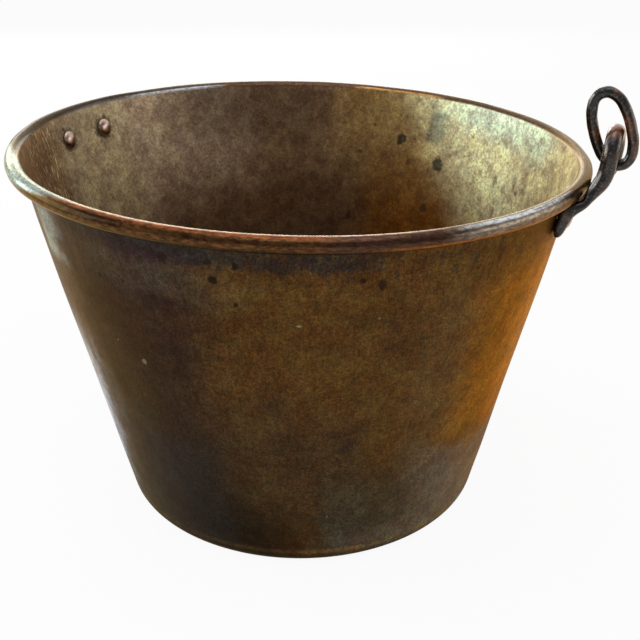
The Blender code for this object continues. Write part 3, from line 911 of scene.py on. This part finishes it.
def brassMaterial():
    material, start = newMaterial("aged brass")
    point = start.node("ShaderNodeTexCoord", out="Object")
    inner = start.node("ShaderNodeAttribute", {"attribute_name": "inner"}, None, "Fac")
    rim = start.node("ShaderNodeAttribute", {"attribute_name": "rim"}, None, "Fac")
    tilt = start.node("ShaderNodeAttribute", {"attribute_name": "tilt"}, None, "Fac")
    height = start.node("ShaderNodeSeparateXYZ", None, {"Vector": point}, "Z")
    away = point.vector("MULTIPLY", (1, 1, 0)).vector("NORMALIZE")
    sided = point.vector("ADD", start.node("ShaderNodeCombineXYZ", None, {"Z": inner * 0.7}))
    drift = sided.mottle(46 * mm, 1, 3, 0.6) - 0.5
    outside = outsideColour(sided, away, height, drift)
    for settings in outsideMottles:
        outside = mottled(sided, outside, *settings)
    inside = insideColour(sided, away, height, drift)
    for settings in insideMottles:
        inside = mottled(sided, inside, *settings)
    colour = mix(inner, outside, inside)
    for settings in sheetMottles:
        colour = mottled(sided, colour, *settings)
    grain = sided.mottle(1 * mm, 6, 3, 0.7).step(0.36, 0.64) - 0.5
    colour = colour.vector("SCALE", scale=1 + grain * (0.62 - 0.34 * inner))
    dots = sided.cells(2.4 * mm, 20).step(0.24, 0.12) * sided.mottle(24 * mm, 23).step(0.42, 0.58)
    colour = colour.vector("MULTIPLY", mix(dots * 0.6, white, patina["dot"]))

    wobble = sided.mottle(3 * mm, 9, 3) * 1.6 - 0.8
    outer = 1 - inner
    pits = spots(point, wobble, outSpots, False) * outer
    pits = pits.math("MAXIMUM", pits, spots(point, wobble, inSpots, True) * inner)
    sparse = sided.mottle(30 * mm, 11).step(0.46, 0.6)
    specks = sided.cells(4.2 * mm, 12).step(0.17, 0.08) * sparse
    pits = pits.math("MAXIMUM", pits, specks * 0.6)
    smudges = spots(point, wobble * 2, outSmudges, False) * outer
    smudges = smudges * sided.mottle(7 * mm, 25, 4, 0.7).step(0.38, 0.6)
    colour = mix(smudges, colour, patina["smudgeAndShade"])
    colour = mix(pits * 0.85, colour, patina["pit"])
    colour = mix(spots(point, wobble, outMarks, False) * outer, colour, patina["mark"])
    colour = mix(spots(point, wobble, inMarks, True) * inner, colour, patina["inVeil"])
    colour = mix(rim, colour, rimColour(point, away, tilt, drift))

    worn = sided.mottle(12 * mm, 14, 4, 0.6)
    rough = 0.44 + 0.08 * inner + 0.22 * (worn - 0.5) + 0.12 * pits
    rough = rough - rim * (0.2 - 0.3 * zone(away, -180, 24, 42))
    relief = 0.6 * sided.mottle(7 * mm, 15, 2) + 0.25 * sided.mottle(1.6 * mm, 16, 3) - 0.3 * pits
    limb = zone(away, -141, 11, 21, drift * 0.06)  # where a film mirrors the floor, at the left edge
    limb = limb * (height + drift * drifts["film"]).window(34 * mm, 132 * mm, 34 * mm) * outer
    torn = sided.mottle(5 * mm, 31, 4, 0.7, (1, 1, 0.35)).step(0.4, 0.6)
    film = rim * tilt.step(44, 14) * 0.25 + limb * (0.25 + 0.5 * torn)
    metallic = 0.92 - 0.42 * (inner - rim).math("MAXIMUM", inner - rim, 0)
    finishMetal(start, colour, rough, relief, 0.12 * mm, metallic, film, patinaGlaze)
    return material


# The iron and the copper

forged = {
    "black": tone(40, 38, 36),
    "brown": tone(64, 52, 42),
    "grey": tone(126, 124, 118),
    "rust": tone(104, 72, 46),
    # warmth: rubbed places, and painted warm light on the feet of the lugs
    "warmth": tone(172, 114, 80),
}
forgedGlaze = {"coatRoughness": 0.2, "specular": 0.5, "edge": white}
rubbedAndWarmLit = [  # rubbed places at the eyes and the link, and painted warm light on the feet of the lugs: the place, and the distances with all and with any warmth, in mm
    ((190, 0, 269), 5, 14), ((-222, 0, 190), 5, 14), ((190, 0, 293), 2, 6), ((180, 20, 214), 5, 11),
    ((180, -20, 214), 5, 11), ((-180, 20, 214), 5, 11), ((-180, -20, 214), 5, 11),
]


def ironMaterial():
    material, start = newMaterial("forged iron")
    point = start.node("ShaderNodeTexCoord", out="Object")
    broad = point.mottle(14 * mm, 31, 3, 0.6)
    fine = point.mottle(2.0 * mm, 32, 4, 0.65)
    warm = broad.step(0.58, 0.7) * 0.25
    # rubbed places, and painted warm light on the feet
    for place, core, edge in rubbedAndWarmLit:
        apart = point.near(tuple(v * mm for v in place), core * mm, edge * mm)
        warm = warm.math("MAXIMUM", warm, apart * (0.6 + 0.6 * fine.step(0.35, 0.6)))
    colour = mix(broad.step(0.5, 0.62), forged["black"], forged["brown"])
    colour = mix(point.mottle(1.4 * mm, 33, 4, 0.7).step(0.52, 0.66) * 0.5, colour, forged["grey"])
    colour = mix(point.mottle(6 * mm, 34, 4, 0.7).step(0.62, 0.72) * 0.4, colour, forged["rust"])
    colour = mix(warm * 0.62, colour, forged["warmth"])
    colour = mottled(point, colour, (0.7, 0.7, 0.7), (1.25, 1.25, 1.25), 1.2 * mm, 35)
    pits = point.cells(2.4 * mm, 36).step(0.32, 0.12) * broad.step(0.4, 0.6)
    rough = 0.24 + 0.24 * (fine - 0.5) + 0.15 * pits
    relief = 0.6 * fine + 0.7 * point.mottle(5 * mm, 37, 2) + 0.35 * point.mottle(0.9 * mm, 38, 3)
    finishMetal(start, colour, rough, relief - 0.5 * pits, 0.22 * mm, 0.9, 0.7, forgedGlaze)
    return material


rivetTones = {"bright": tone(190, 162, 146), "tarnished": tone(142, 118, 104)}
rivetGlaze = {"coatRoughness": 0.2, "specular": 0.5, "edge": (1, 0.95, 0.9, 1)}


def copperMaterial():
    material, start = newMaterial("rivet copper")
    point = start.node("ShaderNodeTexCoord", out="Object")
    tarnish = point.mottle(4 * mm, 41, 4, 0.6)
    colour = mix(tarnish.step(0.4, 0.66), rivetTones["bright"], rivetTones["tarnished"])
    colour = mottled(point, colour, (0.88, 0.88, 0.88), (1.12, 1.12, 1.12), 1 * mm, 42)
    relief = tarnish + 0.3 * point.mottle(1 * mm, 43)
    finishMetal(start, colour, 0.16 + 0.12 * tarnish, relief, 0.03 * mm, 0.95, 0.8, rivetGlaze)
    return material


brass = brassMaterial()
iron = ironMaterial()
copper = copperMaterial()

makePan(brass)
makeLug("iron_lug_right", uprightLegs(), 0, iron, "lug_right", 0)
makeLug("iron_lug_left", bentLegs(), math.pi, iron, "lug_left", 4)
spread = math.asin(lug["rivetSpacing"] / 2 / wallRadius(pan["beadHeight"] - lug["rivetDrop"]))
for seed, (side, place, azimuth) in enumerate((
        ("right", "front", -spread), ("right", "back", spread),
        ("left", "front", math.pi + spread), ("left", "back", math.pi - spread))):
    makeRivet(f"copper_rivet_{side}_{place}", azimuth, copper, f"rivet_{side}_{place}", seed)
makeLink("iron_link_right", nodeMiddle("link_right"), link["lean"], iron, "link_right", "link_right", 2)
makeLink("iron_link_left", nodeMiddle("link_left"), 0, iron, "link_left", "link_left", 8)
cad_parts["rim_wire"].data.materials.clear()
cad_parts["rim_wire"].data.materials.append(iron)


# Floor, light and camera

studio = {
    "floorSize": 9,
    "floorGrey": (0.85, 0.85, 0.85, 1),
    "floorGlow": 0.93,                # share of plain white that the camera sees in the floor
    "floorInMetal": 0.3,              # and that metal sees
    "paleFloor": 0.65,                # and more on a strip beside the left lug
    "paleWay": (0.313, 0.950, 0),     # across that strip
    "paleEdge": (-0.12, -0.07),       # where it begins and is full, that way
    "paleSide": (178, 22, 40),        # its azimuth, and the degrees with all and with any of it
    "paleReach": (0.42, 0.26),        # how far from the pan's middle it ends, and is still full
    "warmSide": (52, 28, 62),         # azimuth and degrees of the floor that metal sees warm
    "warmTone": tone(255, 188, 64),
    "roomLight": 0.5,                 # what the room gives to the floor
    "roomFront": 0.3,                 # what metal sees on the camera's side
    "roomBack": 1.0,                  # and behind the pan
    "backWay": (-0.42, 0.89, 0.17),
    "backEdge": (-0.35, 0.65),
    "aim": Vector((0, 0, 0.15)),
    # azimuth, elevation, distance, width, height, power
    "lamps": {
        "window": (196, 15, 1.7, 1.4, 0.9, 18),
        "top": (-65, 78, 1.8, 1.4, 1.4, 7),
        "back": (128, 12, 2.0, 2.2, 0.4, 10),
        "fill": (15, 14, 2.0, 1.6, 0.9, 6),
    },
    "sensor": 36,
    "lens": 51.48104,
    "shift": (-0.09375, 0.06875),
    "cameraPlace": (0.24198, -0.52610, 0.39171),
    "cameraTurn": (61.56169, -2.27294, 20.60408),
}


def makeFloor():
    mesh = bmesh.new()
    bmesh.ops.create_circle(mesh, cap_ends=True, segments=96, radius=studio["floorSize"])
    data = bpy.data.meshes.new("floor")
    mesh.to_mesh(data)
    mesh.free()
    material, start = newMaterial("pale floor")
    spot = start.node("ShaderNodeTexCoord", out="Object")
    away = spot.vector("NORMALIZE")
    camera = start.node("ShaderNodeLightPath", out="Is Camera Ray")
    glossy = start.node("ShaderNodeLightPath", out="Is Glossy Ray")
    strip = spot.vector("DOT_PRODUCT", studio["paleWay"], "Value").step(*studio["paleEdge"])
    strip = strip * zone(away, *studio["paleSide"])
    strip = strip * spot.vector("LENGTH", out="Value").step(*studio["paleReach"])
    seen = camera * studio["floorGlow"] + glossy * (studio["floorInMetal"] + strip * studio["paleFloor"])
    matte = start.node("ShaderNodeBsdfDiffuse", None, {"Color": studio["floorGrey"]})
    warm = zone(away, *studio["warmSide"]) * glossy
    glow = start.node("ShaderNodeEmission", None, {
        "Color": mix(warm, white, studio["warmTone"]), "Strength": 1.0})
    shader = start.node("ShaderNodeMixShader", None, {0: seen, 1: matte, 2: glow})
    start.node("ShaderNodeOutputMaterial", None, {"Surface": shader})
    data.materials.append(material)
    floor = bpy.data.objects.new("floor", data)
    bpy.context.scene.collection.objects.link(floor)


def makeWorld():
    world = bpy.data.worlds.new("studio")
    world.use_nodes = True
    world.node_tree.nodes.clear()
    start = Wire(world.node_tree)
    way = start.node("ShaderNodeTexCoord", out="Generated")
    back = way.vector("DOT_PRODUCT", studio["backWay"], "Value").step(*studio["backEdge"])
    inMetal = back * (studio["roomBack"] - studio["roomFront"]) + studio["roomFront"]
    glossy = start.node("ShaderNodeLightPath", out="Is Glossy Ray")
    light = glossy * inMetal + (1 - glossy) * studio["roomLight"]
    camera = start.node("ShaderNodeLightPath", out="Is Camera Ray")
    room = start.node("ShaderNodeBackground", None, {
        "Color": white, "Strength": camera.math("MAXIMUM", camera, light)})
    start.node("ShaderNodeOutputWorld", None, {"Surface": room})
    bpy.context.scene.world = world


def addLamp(name, azimuth, elevation, distance, width, height, power):
    light = bpy.data.lights.new(name, "AREA")
    light.shape = "RECTANGLE"
    light.size = width
    light.size_y = height
    light.energy = power
    lamp = bpy.data.objects.new(name, light)
    bpy.context.scene.collection.objects.link(lamp)
    a, e = math.radians(azimuth), math.radians(elevation)
    way = Vector((math.cos(a) * math.cos(e), math.sin(a) * math.cos(e), math.sin(e)))
    turned = way.to_track_quat("Z", "Y").to_matrix().to_4x4()
    lamp.matrix_world = Matrix.Translation(studio["aim"] + way * distance) @ turned


def makeCamera():
    lens = bpy.data.cameras.new("camera")
    lens.sensor_width = studio["sensor"]
    lens.lens = studio["lens"]
    lens.shift_x, lens.shift_y = studio["shift"]
    camera = bpy.data.objects.new("camera", lens)
    camera.location = studio["cameraPlace"]
    camera.rotation_euler = [math.radians(a) for a in studio["cameraTurn"]]
    bpy.context.scene.collection.objects.link(camera)
    bpy.context.scene.camera = camera


makeFloor()
makeWorld()
for name, settings in studio["lamps"].items():
    addLamp(name, *settings)
makeCamera()
print("cauldron: studio ready")
